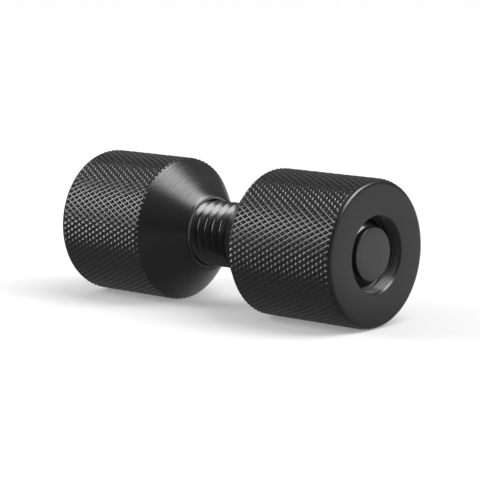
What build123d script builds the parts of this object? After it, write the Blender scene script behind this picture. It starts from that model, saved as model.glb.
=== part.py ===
from build123d import *

import math
import os

INCH = 25.4

# Each knob is turned from bar: a knurled grip, then a plain cone toward the middle of the pin.
knob_diameter = 1.375 * INCH  # over the crests of the knurl
lower_grip_length = 25.5  # outer face to the foot of the cone
upper_grip_length = 29.5
cone_length = 9.2
cone_end_wall = 0.9  # ring left round the hole at the cone's small end
cone_end_break = 0.25
rim_chamfer = 0.7
mouth_depth = 4.0  # relief at the outer face, wider than the thread
mouth_clearance = 0.5  # relief wall to thread crest
mouth_chamfer = 0.45

# Two families of knurl grooves, one of each hand, leave diamonds between them. The real ones are
# 1.2 apart. They are drawn wider here, and each diamond comes to a point, to keep the facets few.
knurl_depth = 0.38
knurl_spacing = 1.95  # across the grooves of one hand
knurl_lean = 30  # degrees between a groove and the length of the pin

# The stud is cut with a coarse 5/8 inch thread, 11 turns to the inch, right hand.
stud_diameter = 0.625 * INCH
thread_pitch = INCH / 11
thread_depth_in_pitches = 0.6134
stud_chamfer_below_thread = 0.55  # the end chamfer goes this much below the root of the thread
running_clearance = 0.1  # stud crest to the wall of the hole through each knob

# The setting of the pin as it stands.
knob_gap = 11.8  # between the small ends of the two cones
stud_recess = 1.1  # each stud end lies this far inside its knob's face

knob_radius = knob_diameter / 2
stud_radius = stud_diameter / 2
hole_radius = stud_radius + running_clearance
mouth_radius = stud_radius + mouth_clearance
cone_end_radius = hole_radius + cone_end_wall
overall_length = lower_grip_length + upper_grip_length + 2 * cone_length + knob_gap
stud_length = overall_length - 2 * stud_recess
thread_depth = thread_depth_in_pitches * thread_pitch
stud_chamfer = thread_depth + stud_chamfer_below_thread

# The knurl is laid out by half steps: columns round the knob and rows up it. Grooves cross where
# column and row add up to an odd number, and a diamond has its tip where they add up to an even one.
lean = math.radians(knurl_lean)
groove_quarters = round(math.pi * knob_diameter * math.cos(lean) / knurl_spacing / 4)
columns = 2 * 4 * groove_quarters
whole_row = math.pi * knob_diameter / columns / math.tan(lean)  # height of a row at the full lean
spare_length = 1.0  # by which the knurled bar and the blank outreach each other before they are cut


def knurl_rows(grip_length):
    """How many rows the knurl of a grip has; they are drawn out a little to fill its length."""
    return math.floor((grip_length - rim_chamfer) / whole_row)


def knurl_point(grip_length, column, row):
    """A point of the knurl: a diamond's tip, or the bottom of a crossing of two grooves."""
    is_tip = (column + row) % 2 == 0
    radius = knob_radius if is_tip else knob_radius - knurl_depth
    turn = math.tau * column / columns
    height = rim_chamfer + (grip_length - rim_chamfer) * row / knurl_rows(grip_length)
    return Vector(radius * math.cos(turn), radius * math.sin(turn), height)


def facet(*corners):
    """A flat face with these corners."""
    return Face(Wire.make_polygon(corners, close=True))


def diamond(grip_length, column, row):
    """The four facets that rise to a diamond's tip."""
    tip = knurl_point(grip_length, column, row)
    right, left = (knurl_point(grip_length, column + side, row) for side in (1, -1))
    high, low = (knurl_point(grip_length, column, row + side) for side in (1, -1))
    pairs = ((right, high), (high, left), (left, low), (low, right))
    return [facet(tip, start, end) for start, end in pairs]


def bar_end(grip_length, row, next_row, height):
    """One end of the knurled bar, plain from the bottom of the grooves on, with its flat end face."""
    facets, outline = [], []
    for column in range((row + 1) % 2, columns, 2):
        start, end = (knurl_point(grip_length, column + step, row) for step in (0, 2))
        far_start, far_end = Vector(start.X, start.Y, height), Vector(end.X, end.Y, height)
        facets.append(facet(start, end, knurl_point(grip_length, column + 1, next_row)))
        facets.append(facet(start, end, far_end, far_start))
        outline.append(far_start)
    return [*facets, facet(*outline)]


def knurled_bar(grip_length):
    """Bar with the knurl rolled into it, before it is bored and turned."""
    rows = knurl_rows(grip_length)
    facets = bar_end(grip_length, 0, 1, -spare_length)
    facets += bar_end(grip_length, rows, rows - 1, grip_length + cone_length + spare_length)
    for row in range(1, rows):
        for column in range(row % 2, columns, 2):
            facets += diamond(grip_length, column, row)
    return Solid(Shell(facets))


def knob_blank(grip_length):
    """What the turned faces leave of a thick bar: chamfer, cone and the hole through the middle."""
    cone_slope = (knob_radius - cone_end_radius) / cone_length
    knob_length = grip_length + cone_length
    half_section = Polyline(
        (hole_radius, mouth_depth),
        (mouth_radius, mouth_depth),
        (mouth_radius, mouth_chamfer),
        (mouth_radius + mouth_chamfer, 0),
        (knob_radius - rim_chamfer, 0),
        (knob_radius + spare_length, rim_chamfer + spare_length),
        (knob_radius + spare_length, grip_length - spare_length / cone_slope),
        (cone_end_radius, knob_length),
        (hole_radius, knob_length),
        close=True,
    )
    blank = revolve(Plane.XZ * make_face(half_section), Axis.Z)
    cone_end_edges = blank.edges().group_by(Axis.Z)[-1]
    return chamfer(cone_end_edges.sort_by(SortBy.RADIUS)[-1], cone_end_break)


def knob(grip_length):
    """A knob with its outer face on the ground and its cone pointing up."""
    return knob_blank(grip_length) & knurled_bar(grip_length)


def stud():
    """The threaded stud, from its lower end at the ground."""
    rod = extrude(Circle(stud_radius), stud_length)
    return chamfer(rod.edges(), stud_chamfer)


lower_knob = knob(lower_grip_length)
upper_knob = Pos(0, 0, overall_length) * Rot(180, 0, 0) * knob(upper_grip_length)
threaded_stud = Pos(0, 0, stud_recess) * stud()

os.makedirs("parts", exist_ok=True)
export_step(lower_knob, "parts/lower_knob.step")
export_step(upper_knob, "parts/upper_knob.step")
export_step(threaded_stud, "parts/threaded_stud.step")
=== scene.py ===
import math

import bmesh
import bpy
from mathutils import Matrix, Vector


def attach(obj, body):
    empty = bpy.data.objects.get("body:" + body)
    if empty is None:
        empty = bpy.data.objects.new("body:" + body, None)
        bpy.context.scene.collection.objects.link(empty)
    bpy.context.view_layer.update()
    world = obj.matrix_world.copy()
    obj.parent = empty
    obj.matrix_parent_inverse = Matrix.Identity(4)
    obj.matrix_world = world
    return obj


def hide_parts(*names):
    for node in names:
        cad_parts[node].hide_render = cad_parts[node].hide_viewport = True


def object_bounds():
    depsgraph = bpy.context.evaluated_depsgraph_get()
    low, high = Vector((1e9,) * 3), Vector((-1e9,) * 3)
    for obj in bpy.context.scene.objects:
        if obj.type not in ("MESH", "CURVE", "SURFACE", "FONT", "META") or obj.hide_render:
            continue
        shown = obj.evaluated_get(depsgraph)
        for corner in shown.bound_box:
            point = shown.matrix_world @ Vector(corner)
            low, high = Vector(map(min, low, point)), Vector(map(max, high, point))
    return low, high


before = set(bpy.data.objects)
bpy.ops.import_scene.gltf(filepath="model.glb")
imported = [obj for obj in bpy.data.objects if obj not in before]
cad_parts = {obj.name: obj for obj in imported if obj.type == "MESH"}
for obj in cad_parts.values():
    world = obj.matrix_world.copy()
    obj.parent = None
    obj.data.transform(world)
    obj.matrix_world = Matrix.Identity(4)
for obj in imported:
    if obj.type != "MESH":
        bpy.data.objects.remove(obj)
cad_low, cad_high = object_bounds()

MM = 0.001
scene = bpy.context.scene
scene.view_settings.view_transform = "Standard"

# Camera: a long lens above and to the side of the pin, which lies on its side in the photograph.
# So the camera is rolled, and the side of the pin that faces -Y is uppermost in the picture.
CAMERA_FROM_MIDDLE = Vector((407.8, -85.8, 359.9)) * MM
CAMERA_FORWARD = Vector((-0.74127, 0.15771, -0.65242))
CAMERA_UP = Vector((-0.11838, -0.98749, -0.10419))
FOCAL_LENGTH = 171.96
SENSOR = 36.0
NEAREST_SEEN = 10 * MM

pin_middle = (cad_low + cad_high) / 2
camera_data = bpy.data.cameras.new("camera")
camera_data.lens = FOCAL_LENGTH
camera_data.sensor_width = SENSOR
camera_data.clip_start = NEAREST_SEEN
camera = bpy.data.objects.new("camera", camera_data)
scene.collection.objects.link(camera)
camera_axes = Matrix((CAMERA_FORWARD.cross(CAMERA_UP), CAMERA_UP, -CAMERA_FORWARD)).transposed()
camera.matrix_world = Matrix.Translation(pin_middle + CAMERA_FROM_MIDDLE) @ camera_axes.to_4x4()
scene.camera = camera


# Knobs: two, turned from aluminium bar, diamond knurled, tapped through and anodised black. Each
# grip is knurled before its rim is rounded and its cone is cut, so both cut through the diamonds.
# The upper knob stands the other way up and its grip is the longer one.
KNOB_RADIUS = 17.4625 * MM
LOWER_GRIP_LENGTH = 25.5 * MM
UPPER_GRIP_LENGTH = 29.5 * MM
CONE_LENGTH = 9.2 * MM
CONE_END_RADIUS = 8.9375 * MM
CONE_END_BREAK = 0.7 * MM
CONE_SLOPE = (KNOB_RADIUS - CONE_END_RADIUS) / CONE_LENGTH
# Where the cone has rings of corners, from near its end down to the knurl: share of the way up.
CONE_RINGS = (0.9, 0.75, 0.6, 0.45, 0.3, 0.15, 0.0)
EDGE_BREAK = 0.12 * MM

KNURL_STARTS = 78
KNURL_LEAN = math.radians(30)
KNURL_DEPTH = 0.38 * MM
# Rings of one diamond, from its small flat top down its flanks to the round bottom of the grooves:
# share of the way out, share of the depth and share of each side that its worn corners take.
KNURL_RINGS = (
    (0.09, 1.0, 0.5), (0.20, 0.94, 0.3), (0.78, 0.12, 0.12), (0.89, 0.025, 0.08), (1.0, 0.0, 0.0),
)
KNURL_HEIGHT_SCATTER = 0.07
KNURL_SEED = 4
# The crests end this far above the outer face, where a chamfer of this slope cuts the diamonds off.
KNURL_START = 1.3 * MM
KNURL_START_SLOPE = 0.8
# The rim from there round to the face, in millimetres: (in from the crests, up from the face).
RIM_ROUND = (
    (0.38, 0.62), (0.42, 0.40), (0.53, 0.25), (0.72, 0.13), (0.97, 0.055), (1.25, 0.015), (1.6, 0.0),
)
KNOB_SEGMENTS = KNURL_STARTS * 4

MOUTH_RADIUS = 8.75 * MM
MOUTH_DEPTH = 4.0 * MM
MOUTH_CHAMFER = 0.45 * MM
BORE_MARKS = 4
BORE_MARK_PITCH = 0.7 * MM
BORE_MARK_HEIGHT = 0.14 * MM
# One ridge on the bored wall: share of the pitch before the end of its turn, share of its height.
BORE_MARK_SHAPE = ((0.6, 0.0), (0.37, 1.0), (0.1, 0.0))

HOLE_RADIUS = 8.0375 * MM
HOLE_END_WIDENING = 0.1 * MM
HOLE_END_BREAK = 0.072 * MM
SCREW_PITCH = 25.4 / 11 * MM
SCREW_SEGMENTS = 96
TAPPED_DEPTH = 0.36 * MM
# Widths of a thread's crest and root as shares of its pitch.
TAPPED_CREST, TAPPED_ROOT = 0.3, 0.2

SAME_POINT = 1e-7
SAME_POINT_ROLLED = 2e-7
ROUND_STEPS = 3
CRISP_ANGLE = math.radians(28)

# Lathe marks: how close they lie, how high they stand and how strongly they show in each place.
KNOB_RINGS_PER_METRE = 1700.0
RING_HEIGHT = 0.04 * MM
CONE_MARKS, FACE_MARKS, CONE_END_MARKS = 2.5, 0.12, 0.05
CONE_END_MARKS_SPAN = (CONE_END_RADIUS + 0.4 * MM, CONE_END_RADIUS + 0.9 * MM)
CHANGE_OF_MARKS = 0.1 * MM
ANODISED_SPECULAR = 0.5
ANODISED_TINT = (0.007, 0.012)
ANODISED_GRAIN = 900.0
ANODISED_ROUGHNESS = (0.18, 0.30)
# Painted light: how many times lighter the colour is made inside the bore, so that its wall looks lit.
BORE_PAINTED_LIGHT = 6.0


def add_node(tree, kind, settings=None, **sockets):
    """Adds a node and fills its inputs, by name with _ for a space, from values or other outputs."""
    node = tree.nodes.new(kind)
    for name, value in (settings or {}).items():
        setattr(node, name, value)
    for name, value in sockets.items():
        socket = node.inputs[int(name[1:])] if name[1:].isdigit() else node.inputs[name.replace("_", " ")]
        if isinstance(value, bpy.types.NodeSocket):
            tree.links.new(value, socket)
        else:
            socket.default_value = value
    return node


def calculate(tree, operation, first, second=0.0, third=0.0):
    """Adds a Math node and returns its output."""
    node = add_node(tree, "ShaderNodeMath", {"operation": operation}, i0=first, i1=second, i2=third)
    return node.outputs[0]


def remap(tree, value, results, span=(0.0, 1.0), kind="LINEAR"):
    """Adds a Map Range node from a span of values to the results and returns its output."""
    node = add_node(
        tree, "ShaderNodeMapRange", {"interpolation_type": kind}, Value=value,
        From_Min=span[0], From_Max=span[1], To_Min=results[0], To_Max=results[1],
    )
    return node.outputs["Result"]


def add_inputs(tree, sockets):
    """Gives a node tree its named inputs and returns the outputs of its Group Input."""
    for name, kind in sockets:
        tree.interface.new_socket(name, in_out="INPUT", socket_type=kind)
    return tree.nodes.new("NodeGroupInput").outputs


def lay_rows(tree, given):
    """Points in rows over the sheet, those of the odd rows moved aside by the stagger."""
    count = calculate(tree, "MULTIPLY", given["Columns"], given["Rows"])
    points = add_node(tree, "GeometryNodePoints", Count=count)
    index = tree.nodes.new("GeometryNodeInputIndex").outputs[0]
    row = calculate(tree, "FLOOR", calculate(tree, "DIVIDE", index, given["Columns"]))
    column = calculate(tree, "SUBTRACT", index, calculate(tree, "MULTIPLY", row, given["Columns"]))
    odd = calculate(tree, "MODULO", row, 2.0)
    aside = calculate(tree, "MULTIPLY_ADD", odd, given["Stagger"], column)
    place = add_node(
        tree, "ShaderNodeCombineXYZ",
        X=calculate(tree, "MULTIPLY", aside, given["Step Round"]),
        Y=calculate(tree, "MULTIPLY", row, given["Step Along"]),
    )
    return add_node(tree, "GeometryNodeSetPosition", Geometry=points.outputs[0], Position=place.outputs[0])


def make_repeat_tree():
    """Geometry Nodes that lay copies of a cell on a rolled-out sheet, each a little lower at random."""
    tree = bpy.data.node_groups.new("Repeat Over Rolled-Out Sheet", "GeometryNodeTree")
    given = add_inputs(tree, (
        ("Geometry", "NodeSocketGeometry"),
        ("Columns", "NodeSocketInt"),
        ("Rows", "NodeSocketInt"),
        ("Step Round", "NodeSocketFloat"),
        ("Step Along", "NodeSocketFloat"),
        ("Stagger", "NodeSocketFloat"),
        ("Height Scatter", "NodeSocketFloat"),
        ("Seed", "NodeSocketInt"),
        ("Material", "NodeSocketMaterial"),
    ))
    tree.interface.new_socket("Geometry", in_out="OUTPUT", socket_type="NodeSocketGeometry")
    rows = lay_rows(tree, given)
    lowest = calculate(tree, "SUBTRACT", 1.0, given["Height Scatter"])
    height = add_node(
        tree, "FunctionNodeRandomValue", {"data_type": "FLOAT"}, i2=lowest, i3=1.0, Seed=given["Seed"]
    )
    scale = add_node(tree, "ShaderNodeCombineXYZ", X=1.0, Y=1.0, Z=height.outputs[1])
    copies = add_node(
        tree, "GeometryNodeInstanceOnPoints",
        Points=rows.outputs[0], Instance=given["Geometry"], Scale=scale.outputs[0],
    )
    real = add_node(tree, "GeometryNodeRealizeInstances", Geometry=copies.outputs[0])
    coated = add_node(tree, "GeometryNodeSetMaterial", Geometry=real.outputs[0], Material=given["Material"])
    tree.links.new(coated.outputs[0], tree.nodes.new("NodeGroupOutput").inputs[0])
    return tree


repeat_tree = make_repeat_tree()


def repeat_cell(name, points, faces, material, **sizes):
    """The copies that the tree makes of one cell, joined into one sheet that can be cut and rolled."""
    cell = bpy.data.meshes.new(name)
    cell.from_pydata(points, [], faces)
    holder = bpy.data.objects.new(name, cell)
    scene.collection.objects.link(holder)
    modifier = holder.modifiers.new("repeat", "NODES")
    modifier.node_group = repeat_tree
    items = repeat_tree.interface.items_tree
    sockets = {item.name: item.identifier for item in items if item.in_out == "INPUT"}
    for socket_name, value in {**sizes, "Material": material}.items():
        modifier[sockets[socket_name.replace("_", " ")]] = value
    evaluated = holder.evaluated_get(bpy.context.evaluated_depsgraph_get())
    repeated = bpy.data.meshes.new_from_object(evaluated)
    sheet = bmesh.new()
    sheet.from_mesh(repeated)
    bmesh.ops.remove_doubles(sheet, verts=sheet.verts, dist=SAME_POINT)
    bpy.data.objects.remove(holder)
    bpy.data.meshes.remove(cell)
    bpy.data.meshes.remove(repeated)
    return sheet


def cut_sheet(sheet, point, outward):
    """Cuts away what lies on the outward side of a plane."""
    everything = sheet.verts[:] + sheet.edges[:] + sheet.faces[:]
    bmesh.ops.bisect_plane(
        sheet, geom=everything, dist=1e-9, plane_co=point, plane_no=outward, clear_outer=True
    )


def roll_up(sheet, floor_radius, circumference):
    """Rolls a flat sheet round the pin: x becomes the angle, y the height and z the radius."""
    for corner in sheet.verts:
        angle = corner.co.x / circumference * math.tau
        radius = floor_radius + corner.co.z
        corner.co = (radius * math.cos(angle), radius * math.sin(angle), corner.co.y)
    bmesh.ops.remove_doubles(sheet, verts=sheet.verts, dist=SAME_POINT_ROLLED)


def angle_of(corner):
    """The corner's angle round the pin."""
    return math.atan2(corner.co.y, corner.co.x) % math.tau


def open_edges(sheet, middle, nearest=0.0, furthest=math.inf):
    """The corners along the sheet's two open ends within a span of radii, in order round the pin."""
    corners = {corner for edge in sheet.edges if edge.is_boundary for corner in edge.verts}
    ring = sorted((corner for corner in corners if nearest < corner.co.xy.length < furthest), key=angle_of)
    return [c for c in ring if c.co.z < middle], [c for c in ring if c.co.z > middle]


def add_ring(sheet, radius, height, count):
    """A ring of corners round the pin."""
    turns = [math.tau * step / count for step in range(count)]
    return [sheet.verts.new((radius * math.cos(turn), radius * math.sin(turn), height)) for turn in turns]


def join_rings(sheet, near, far):
    """Fills the band between two rings, whatever their numbers of corners."""
    if len(near) == len(far):
        for step in range(len(near)):
            sheet.faces.new((near[step - 1], near[step], far[step], far[step - 1]))
        return
    near_turns = [angle_of(corner) for corner in near] + [math.tau + angle_of(near[0])]
    far_turns = [angle_of(corner) for corner in far] + [math.tau + angle_of(far[0])]
    near, far = near + near[:1], far + far[:1]
    a = b = 0
    while a < len(near) - 1 or b < len(far) - 1:
        at_far_end = b == len(far) - 1
        if at_far_end or (a < len(near) - 1 and near_turns[a + 1] <= far_turns[b + 1]):
            sheet.faces.new((near[a], near[a + 1], far[b]))
            a += 1
        else:
            sheet.faces.new((near[a], far[b + 1], far[b]))
            b += 1


def turn_profile(sheet, start, profile, count, end=None):
    """Turns a profile of (radius, height) points from one ring on to another ring or open edge."""
    ring = start
    for radius, height in profile:
        following = add_ring(sheet, radius, height, count)
        join_rings(sheet, ring, following)
        ring = following
    if end:
        join_rings(sheet, ring, end)
    return ring


def rounded(corner, before, after, size):
    """Points of a small round that breaks a corner of a profile."""
    corner, before, after = Vector(corner), Vector(before), Vector(after)
    start = corner + (before - corner).normalized() * size
    end = corner + (after - corner).normalized() * size
    points = []
    for step in range(ROUND_STEPS + 1):
        t = step / ROUND_STEPS
        points.append(tuple(start * (1 - t) ** 2 + corner * 2 * t * (1 - t) + end * t ** 2))
    return points


def soften(profile, sizes, before, after):
    """The profile with its corners broken by rounds of the given sizes."""
    path = [before, *profile, after]
    points = []
    for index, size in enumerate(sizes, start=1):
        points += rounded(path[index], path[index - 1], path[index + 1], size)
    return points


def diamond_rings(width, length):
    """Corners of one raised diamond, eight to a ring, since each tip is worn off to two."""
    tips = ((1, 0), (0, 1), (-1, 0), (0, -1))
    points = []
    for share, rise, worn in KNURL_RINGS:
        for (x, y), (next_x, next_y) in zip(tips, tips[1:] + tips[:1]):
            for way in (worn / 2, 1 - worn / 2):
                across, along = x + (next_x - x) * way, y + (next_y - y) * way
                points.append((across * share * width / 2, along * share * length / 2, rise * KNURL_DEPTH))
    return points


def knurl_sheet(grip_length, material):
    """The knurl rolled out flat: raised diamonds between two families of grooves."""
    width = math.tau * KNOB_RADIUS / KNURL_STARTS
    length = width / math.tan(KNURL_LEAN)
    points = diamond_rings(width, length)
    sides = [
        (ring + 8 + k, ring + 8 + (k + 1) % 8, ring + (k + 1) % 8, ring + k)
        for ring in range(0, len(points) - 8, 8)
        for k in range(8)
    ]
    rows = math.ceil(grip_length / (length / 2)) + 2
    return repeat_cell(
        "knurl_diamond", points, sides + [tuple(range(8))], material,
        Columns=KNURL_STARTS, Rows=rows, Step_Round=width, Step_Along=length / 2,
        Stagger=0.5, Height_Scatter=KNURL_HEIGHT_SCATTER, Seed=KNURL_SEED,
    )


def screw_sheet(name, circumference, depth, crest, root, turns, material):
    """A right-hand screw thread rolled out flat, one turn of its section to a row."""
    flank = (1 - crest - root) / 2
    section = ((0.0, 0.0), (root, 0.0), (root + flank, depth), (root + flank + crest, depth), (1.0, 0.0))
    points = [
        (circumference * column / SCREW_SEGMENTS, (share + column / SCREW_SEGMENTS) * SCREW_PITCH, height)
        for column in range(SCREW_SEGMENTS + 1)
        for share, height in section
    ]
    width = len(section)
    faces = [
        (column * width + k, (column + 1) * width + k, (column + 1) * width + k + 1, column * width + k + 1)
        for column in range(SCREW_SEGMENTS)
        for k in range(width - 1)
    ]
    return repeat_cell(
        name, points, faces, material,
        Columns=1, Rows=turns, Step_Round=0.0, Step_Along=SCREW_PITCH,
        Stagger=0.0, Height_Scatter=0.0, Seed=0,
    )


def shift_along(sheet, distance):
    """Moves a flat sheet down the pin."""
    for corner in sheet.verts:
        corner.co.y -= distance


def close_mesh(sheet, name, material):
    """Turns the sheet into an object, faces outward, with sharp edges kept crisp."""
    bmesh.ops.recalc_face_normals(sheet, faces=sheet.faces)
    for face in sheet.faces:
        face.smooth = True
        face.material_index = 0
    mesh = bpy.data.meshes.new(name)
    sheet.to_mesh(mesh)
    sheet.free()
    mesh.materials.clear()
    mesh.materials.append(material)
    mesh.set_sharp_from_angle(angle=CRISP_ANGLE)
    piece = bpy.data.objects.new(name, mesh)
    scene.collection.objects.link(piece)
    return piece


def knurled_grip(grip_length, material):
    """The knurl, cut off along the rim's chamfer and along the cone, and rolled up."""
    grip = knurl_sheet(grip_length, material)
    cut_sheet(grip, (0, KNURL_START, KNURL_DEPTH), Vector((0, -KNURL_START_SLOPE, 1)))
    cut_sheet(grip, (0, grip_length, KNURL_DEPTH), Vector((0, CONE_SLOPE, 1)))
    roll_up(grip, KNOB_RADIUS - KNURL_DEPTH, math.tau * KNOB_RADIUS)
    return grip


def add_tapped_hole(knob, low, high, material):
    """Adds the thread of the hole, open at both ends, to the knob's mesh."""
    circumference = math.tau * KNOB_RADIUS
    turns = math.ceil((high + TAPPED_DEPTH) / SCREW_PITCH) + 2
    hole = screw_sheet(
        "tapped_thread", circumference, TAPPED_DEPTH, TAPPED_CREST, TAPPED_ROOT, turns, material
    )
    shift_along(hole, SCREW_PITCH)
    cut_sheet(hole, (0, low, 0), Vector((0, -1, 0)))
    cut_sheet(hole, (0, high, 0), Vector((0, 1, 0)))
    roll_up(hole, HOLE_RADIUS, circumference)
    hole_mesh = bpy.data.meshes.new("tapped_hole")
    hole.to_mesh(hole_mesh)
    hole.free()
    knob.from_mesh(hole_mesh)
    bpy.data.meshes.remove(hole_mesh)


def outer_face_profile():
    """From the knurl over the rounded rim and the face into the bored mouth and to the tapped hole."""
    rim = [(KNOB_RADIUS - inward * MM, height * MM) for inward, height in RIM_ROUND]
    chamfer_top, chamfer_foot = (MOUTH_RADIUS + MOUTH_CHAMFER, 0.0), (MOUTH_RADIUS, MOUTH_CHAMFER)
    mouth_foot, into_hole = (MOUTH_RADIUS, MOUTH_DEPTH), (HOLE_RADIUS, MOUTH_DEPTH)
    chamfer = soften([chamfer_top, chamfer_foot], (EDGE_BREAK, EDGE_BREAK), rim[-1], mouth_foot)
    ridges = [
        (MOUTH_RADIUS - BORE_MARK_HEIGHT * rise, MOUTH_CHAMFER + (mark - back) * BORE_MARK_PITCH)
        for mark in range(1, BORE_MARKS + 1)
        for back, rise in BORE_MARK_SHAPE
    ]
    return rim + chamfer + ridges + rounded(mouth_foot, chamfer_foot, into_hole, EDGE_BREAK) + [into_hole]


def cone_profile(grip_length, hole_high):
    """From the tapped hole round the cone's blunt end and down the cone to the knurl."""
    knob_length = grip_length + CONE_LENGTH
    ends = [(HOLE_RADIUS + HOLE_END_WIDENING, knob_length), (CONE_END_RADIUS, knob_length)]
    sizes = (HOLE_END_BREAK, CONE_END_BREAK)
    blunt = soften(ends, sizes, (HOLE_RADIUS, hole_high), (KNOB_RADIUS, grip_length))
    foot_radius = KNOB_RADIUS - KNURL_DEPTH - EDGE_BREAK
    radii = [foot_radius + (CONE_END_RADIUS - foot_radius) * share for share in CONE_RINGS]
    return blunt + [(radius, grip_length + (KNOB_RADIUS - radius) / CONE_SLOPE) for radius in radii]


def make_knob(name, grip_length, material):
    """A knob with its outer face at height 0 and its cone pointing up."""
    knob_length = grip_length + CONE_LENGTH
    hole_high = knob_length - TAPPED_DEPTH
    knob = knurled_grip(grip_length, material)
    add_tapped_hole(knob, MOUTH_DEPTH + TAPPED_DEPTH, hole_high, material)
    hole_mouth, hole_end = open_edges(knob, knob_length / 2, furthest=CONE_END_RADIUS)
    rim_cut, cone_cut = open_edges(knob, knob_length / 2, nearest=CONE_END_RADIUS)
    turn_profile(knob, rim_cut, outer_face_profile(), KNOB_SEGMENTS, hole_mouth)
    turn_profile(knob, hole_end, cone_profile(grip_length, hole_high), KNOB_SEGMENTS, cone_cut)
    return close_mesh(knob, name, material)


def turning_marks_group():
    """Fine rings left by the lathe tool: heights that change with the way along the turned profile."""
    group = bpy.data.node_groups.new("Turning Marks", "ShaderNodeTree")
    inputs = [(name, "NodeSocketFloat") for name in ("Middle Height", "Rings Per Metre")]
    given = add_inputs(group, inputs)
    for name in ("Height", "From Middle", "Radius"):
        group.interface.new_socket(name, in_out="OUTPUT", socket_type="NodeSocketFloat")
    place = group.nodes.new("ShaderNodeTexCoord").outputs["Object"]
    x, y, z = add_node(group, "ShaderNodeSeparateXYZ", Vector=place).outputs
    across = calculate(group, "ADD", calculate(group, "MULTIPLY", x, x), calculate(group, "MULTIPLY", y, y))
    radius = calculate(group, "SQRT", across)
    from_middle = calculate(group, "ABSOLUTE", calculate(group, "SUBTRACT", z, given["Middle Height"]))
    way = calculate(group, "ADD", radius, from_middle)
    along = calculate(group, "MULTIPLY", way, given["Rings Per Metre"])
    noise = add_node(
        group, "ShaderNodeTexNoise", {"noise_dimensions": "1D"},
        W=along, Scale=1.0, Detail=2.0, Roughness=0.55,
    )
    results = group.nodes.new("NodeGroupOutput").inputs
    group.links.new(noise.outputs[0], results["Height"])
    group.links.new(from_middle, results["From Middle"])
    group.links.new(radius, results["Radius"])
    return group


# The marks are mirrored about the middle of the gap between the knobs, and so are the cones' feet.
turning_marks = turning_marks_group()
gap_middle = (cad_high.z + LOWER_GRIP_LENGTH - UPPER_GRIP_LENGTH) / 2
cone_foot = (cad_high.z - LOWER_GRIP_LENGTH - UPPER_GRIP_LENGTH) / 2


def grain_of(tree, scale):
    """A fine even noise over the piece."""
    place = tree.nodes.new("ShaderNodeTexCoord").outputs["Object"]
    return add_node(tree, "ShaderNodeTexNoise", Scale=scale, Detail=4.0, Vector=place).outputs[0]


def mark_height(tree, rings):
    """The lathe marks, strong on the cones and faint on the faces, the knurl and the cones' ends."""
    span = (cone_foot - CHANGE_OF_MARKS, cone_foot + CHANGE_OF_MARKS)
    coarse = remap(tree, rings.outputs["From Middle"], (CONE_MARKS, FACE_MARKS), span)
    blunt = remap(tree, rings.outputs["Radius"], (CONE_END_MARKS, 1.0), CONE_END_MARKS_SPAN)
    strength = calculate(tree, "MULTIPLY", coarse, blunt)
    return calculate(tree, "MULTIPLY", rings.outputs["Height"], strength)


def anodised_aluminium():
    """Black anodising over turned aluminium: satin, with the lathe's marks, and with painted light in the
    bore, whose colour is made lighter so that its wall looks lit.
    """
    material = bpy.data.materials.new("black_anodised_aluminium")
    material.use_nodes = True
    tree = material.node_tree
    shader = tree.nodes["Principled BSDF"]
    shader.inputs["Metallic"].default_value = 0.0
    shader.inputs["Specular IOR Level"].default_value = ANODISED_SPECULAR
    rings = add_node(
        tree, "ShaderNodeGroup", {"node_tree": turning_marks},
        Middle_Height=gap_middle, Rings_Per_Metre=KNOB_RINGS_PER_METRE,
    )
    cut = mark_height(tree, rings)
    bump = add_node(tree, "ShaderNodeBump", Strength=1.0, Distance=RING_HEIGHT, Height=cut)
    tree.links.new(bump.outputs[0], shader.inputs["Normal"])
    tint = remap(tree, grain_of(tree, ANODISED_GRAIN), ANODISED_TINT)
    # Painted light: the colour grows lighter inside the mouth's radius, in the bore.
    span = (MOUTH_RADIUS + CHANGE_OF_MARKS, MOUTH_RADIUS - CHANGE_OF_MARKS)
    bore = remap(tree, rings.outputs["Radius"], (1.0, BORE_PAINTED_LIGHT), span)
    tree.links.new(calculate(tree, "MULTIPLY", tint, bore), shader.inputs["Base Color"])
    gloss = remap(tree, rings.outputs["Height"], ANODISED_ROUGHNESS)
    tree.links.new(gloss, shader.inputs["Roughness"])
    return material


anodised = anodised_aluminium()
lower_knob = make_knob("lower_knob_turned", LOWER_GRIP_LENGTH, anodised)
upper_knob = make_knob("upper_knob_turned", UPPER_GRIP_LENGTH, anodised)
end_for_end = Matrix.Translation((0, 0, cad_high.z)) @ Matrix.Rotation(math.pi, 4, "X")
upper_knob.data.transform(end_for_end)

for knob_piece, node, body in (
    (lower_knob, "lower_knob", "lower_knob"),
    (upper_knob, "upper_knob", "upper_knob"),
):
    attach(knob_piece, body)
    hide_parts(node)


# Stud: one steel rod threaded along nearly its whole length, 11 turns to the inch, right hand, its
# ends chamfered and turned down to a short plain stub. It is blackened and oiled, glossier than the
# knobs, and screws into both of them.
STUD_RADIUS = 7.9375 * MM
STUD_LOW = 1.1 * MM
STUD_HIGH = cad_high.z - STUD_LOW
THREAD_DEPTH = 0.6134 * SCREW_PITCH
THREAD_CREST, THREAD_ROOT = 0.03, 0.12
# How many turns the thread is moved down, so that its crests lie as in the photograph.
THREAD_PHASE = 1.58
STUD_END_RADIUS = 6.25 * MM
STUD_STUB = 1.6 * MM
CHAMFER_SLOPE = 0.6
STUD_CHAMFER = (STUD_RADIUS - STUD_END_RADIUS) * CHAMFER_SLOPE
STUD_RINGS_PER_METRE = 4200.0
STUD_RING_HEIGHT = 0.02 * MM
STUD_RING_STRENGTH = 0.25
OXIDE_SPECULAR = 0.66
OXIDE_GRAIN = 700.0
OXIDE_TINT = (0.010, 0.018)
OXIDE_ROUGHNESS = (0.16, 0.26)


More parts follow.
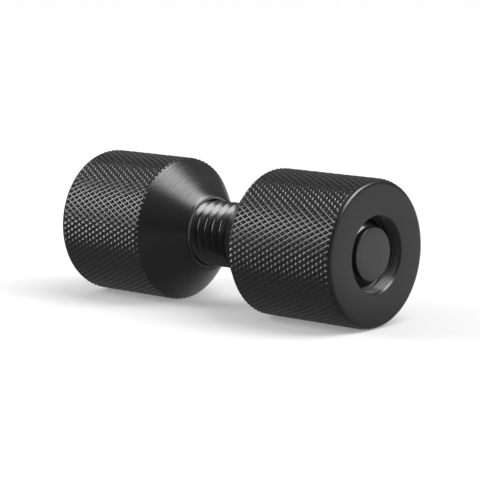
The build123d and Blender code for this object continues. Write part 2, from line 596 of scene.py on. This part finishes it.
def make_stud(material):
    """The thread with both ends cut off along their chamfers, and a stub turned on to each."""
    circumference = math.tau * STUD_RADIUS
    turns = math.ceil(cad_high.z / SCREW_PITCH) + 3
    rod = screw_sheet(
        "stud_thread", circumference, THREAD_DEPTH, THREAD_CREST, THREAD_ROOT, turns, material
    )
    shift_along(rod, SCREW_PITCH * THREAD_PHASE)
    cut_sheet(rod, (0, STUD_LOW + STUD_STUB + STUD_CHAMFER, THREAD_DEPTH), Vector((0, -1, CHAMFER_SLOPE)))
    cut_sheet(rod, (0, STUD_HIGH - STUD_STUB - STUD_CHAMFER, THREAD_DEPTH), Vector((0, 1, CHAMFER_SLOPE)))
    roll_up(rod, STUD_RADIUS - THREAD_DEPTH, circumference)
    low_cut, high_cut = open_edges(rod, pin_middle.z)
    for cut, face, inward in ((low_cut, STUD_LOW, 1), (high_cut, STUD_HIGH, -1)):
        stub_foot = (STUD_END_RADIUS, face + inward * STUD_STUB)
        profile = [stub_foot, *rounded((STUD_END_RADIUS, face), stub_foot, (0, face), EDGE_BREAK)]
        profile += [(STUD_END_RADIUS / 2, face), (STUD_END_RADIUS / 10, face)]
        rod.faces.new(turn_profile(rod, cut, profile, SCREW_SEGMENTS))
    return close_mesh(rod, "threaded_stud_cut", material)


def black_oxide_steel():
    """Oiled black oxide on steel: near black and glossy, with faint turning marks."""
    material = bpy.data.materials.new("black_oxide_steel")
    material.use_nodes = True
    tree = material.node_tree
    shader = tree.nodes["Principled BSDF"]
    shader.inputs["Metallic"].default_value = 0.0
    shader.inputs["Specular IOR Level"].default_value = OXIDE_SPECULAR
    rings = add_node(
        tree, "ShaderNodeGroup", {"node_tree": turning_marks},
        Middle_Height=gap_middle, Rings_Per_Metre=STUD_RINGS_PER_METRE,
    )
    bump = add_node(
        tree, "ShaderNodeBump",
        Strength=STUD_RING_STRENGTH, Distance=STUD_RING_HEIGHT, Height=rings.outputs["Height"],
    )
    tree.links.new(bump.outputs[0], shader.inputs["Normal"])
    grain = grain_of(tree, OXIDE_GRAIN)
    tree.links.new(remap(tree, grain, OXIDE_TINT), shader.inputs["Base Color"])
    tree.links.new(remap(tree, grain, OXIDE_ROUGHNESS), shader.inputs["Roughness"])
    return material


stud = make_stud(black_oxide_steel())
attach(stud, "stud")
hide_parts("threaded_stud")


# Floor: a plain white sheet that the pin lies on, so it stands upright in this frame. Its back is
# clear, so that a view from behind sees the pin.
FLOOR_HALF_WIDTH = 1.5
FLOOR_PAINT = (0.285, 0.285, 0.285, 1)
FLOOR_GLOW = 0.27
# Painted glow of the floor, which the pin mirrors and is lit by, from the camera's side of the pin to behind
# it.
PAINTED_FLOOR_GLOW = (0.28, 0.72)
PAINTED_FLOOR_GLOW_SPAN = (10 * MM, -60 * MM)
WHITE = (1, 1, 1, 1)


def white_floor():
    """White to the camera, where it takes the pin's soft shadow. To every other ray the floor is a painted
    glow, dim toward the camera and brighter behind the pin, so the pin mirrors and is lit by painted light."""
    material = bpy.data.materials.new("white_floor")
    material.use_nodes = True
    tree = material.node_tree
    tree.nodes.clear()
    rays = tree.nodes.new("ShaderNodeLightPath").outputs
    paint = add_node(tree, "ShaderNodeBsdfDiffuse", Color=FLOOR_PAINT)
    glow = add_node(tree, "ShaderNodeEmission", Color=WHITE, Strength=FLOOR_GLOW)
    seen = add_node(tree, "ShaderNodeAddShader", i0=paint.outputs[0], i1=glow.outputs[0])
    place = tree.nodes.new("ShaderNodeTexCoord").outputs["Object"]
    x = add_node(tree, "ShaderNodeSeparateXYZ", Vector=place).outputs["X"]
    # Painted glow: brighter further behind the pin, for every ray but the camera's.
    behind = remap(tree, x, PAINTED_FLOOR_GLOW, PAINTED_FLOOR_GLOW_SPAN, "SMOOTHSTEP")
    painted_glow = add_node(tree, "ShaderNodeEmission", Color=WHITE, Strength=behind)
    front = add_node(
        tree, "ShaderNodeMixShader", i0=rays["Is Camera Ray"], i1=painted_glow.outputs[0], i2=seen.outputs[0]
    )
    clear = tree.nodes.new("ShaderNodeBsdfTransparent")
    back = tree.nodes.new("ShaderNodeNewGeometry").outputs["Backfacing"]
    both = add_node(tree, "ShaderNodeMixShader", i0=back, i1=front.outputs[0], i2=clear.outputs[0])
    tree.links.new(both.outputs[0], tree.nodes.new("ShaderNodeOutputMaterial").inputs[0])
    return material


floor_corners = [
    (x * FLOOR_HALF_WIDTH, KNOB_RADIUS, z * FLOOR_HALF_WIDTH)
    for x, z in ((-1, -1), (1, -1), (1, 1), (-1, 1))
]
floor_mesh = bpy.data.meshes.new("floor")
floor_mesh.from_pydata(floor_corners, [], [(0, 1, 2, 3)])
floor_mesh.materials.append(white_floor())
floor = bpy.data.objects.new("floor", floor_mesh)
scene.collection.objects.link(floor)


# Studio: far, broad softboxes above the pin and at the right of the photograph, small near ones at
# its left and behind the pin, and a ceiling that fills the shadows but isn't mirrored. They stand in
# a dim room whose backdrop the camera sees as white.
SOFTBOX_DISTANCE = 0.6
ROOM_STRENGTH = (0.04, 0.10)
ROOM_SPAN = (-0.7, 0.9)


def aim(lamp, travel):
    """Turns a lamp so that its light travels this way."""
    lamp.rotation_mode = "QUATERNION"
    lamp.rotation_quaternion = Vector(travel).to_track_quat("-Z", "Y")


def add_far_softbox(name, strength, width, travel):
    """A softbox so far off that only its width in degrees counts."""
    light = bpy.data.lights.new(name, "SUN")
    light.energy = strength
    light.angle = math.radians(width)
    lamp = bpy.data.objects.new(name, light)
    scene.collection.objects.link(lamp)
    aim(lamp, travel)
    return lamp


def add_near_softbox(name, direction, width, radiance):
    """A square softbox that stands in this direction from the pin."""
    light = bpy.data.lights.new(name, "AREA")
    light.shape = "RECTANGLE"
    light.size, light.size_y = width, width
    light.energy = radiance * math.pi * width * width
    lamp = bpy.data.objects.new(name, light)
    scene.collection.objects.link(lamp)
    direction = Vector(direction).normalized()
    lamp.location = pin_middle + direction * SOFTBOX_DISTANCE
    aim(lamp, -direction)


add_far_softbox("overhead_softbox", 3.0, 42, (0.13, 0.91, -0.40))
add_far_softbox("right_softbox", 2.8, 36, (0.40, 0.56, -0.72))
add_near_softbox("left_softbox", (0.597, -0.465, -0.652), 0.28, 15.0)
add_near_softbox("back_softbox", (-0.56, -0.51, -0.65), 0.45, 0.3)
ceiling = add_far_softbox("ceiling", 3.4, 150, (0, 1, 0))
ceiling.visible_glossy = False

world = bpy.data.worlds.new("studio")
scene.world = world
world.use_nodes = True
tree = world.node_tree
background = tree.nodes["Background"]
rays = tree.nodes.new("ShaderNodeLightPath").outputs
outlook = tree.nodes.new("ShaderNodeTexCoord").outputs["Generated"]
away = add_node(tree, "ShaderNodeVectorMath", {"operation": "DOT_PRODUCT"}, i0=outlook, i1=CAMERA_FORWARD)
room = remap(tree, away.outputs["Value"], ROOM_STRENGTH, ROOM_SPAN, "SMOOTHSTEP")
strength = add_node(tree, "ShaderNodeMix", i0=rays["Is Camera Ray"], i2=room, i3=1.0)
tree.links.new(strength.outputs[0], background.inputs["Strength"])
background.inputs["Color"].default_value = WHITE
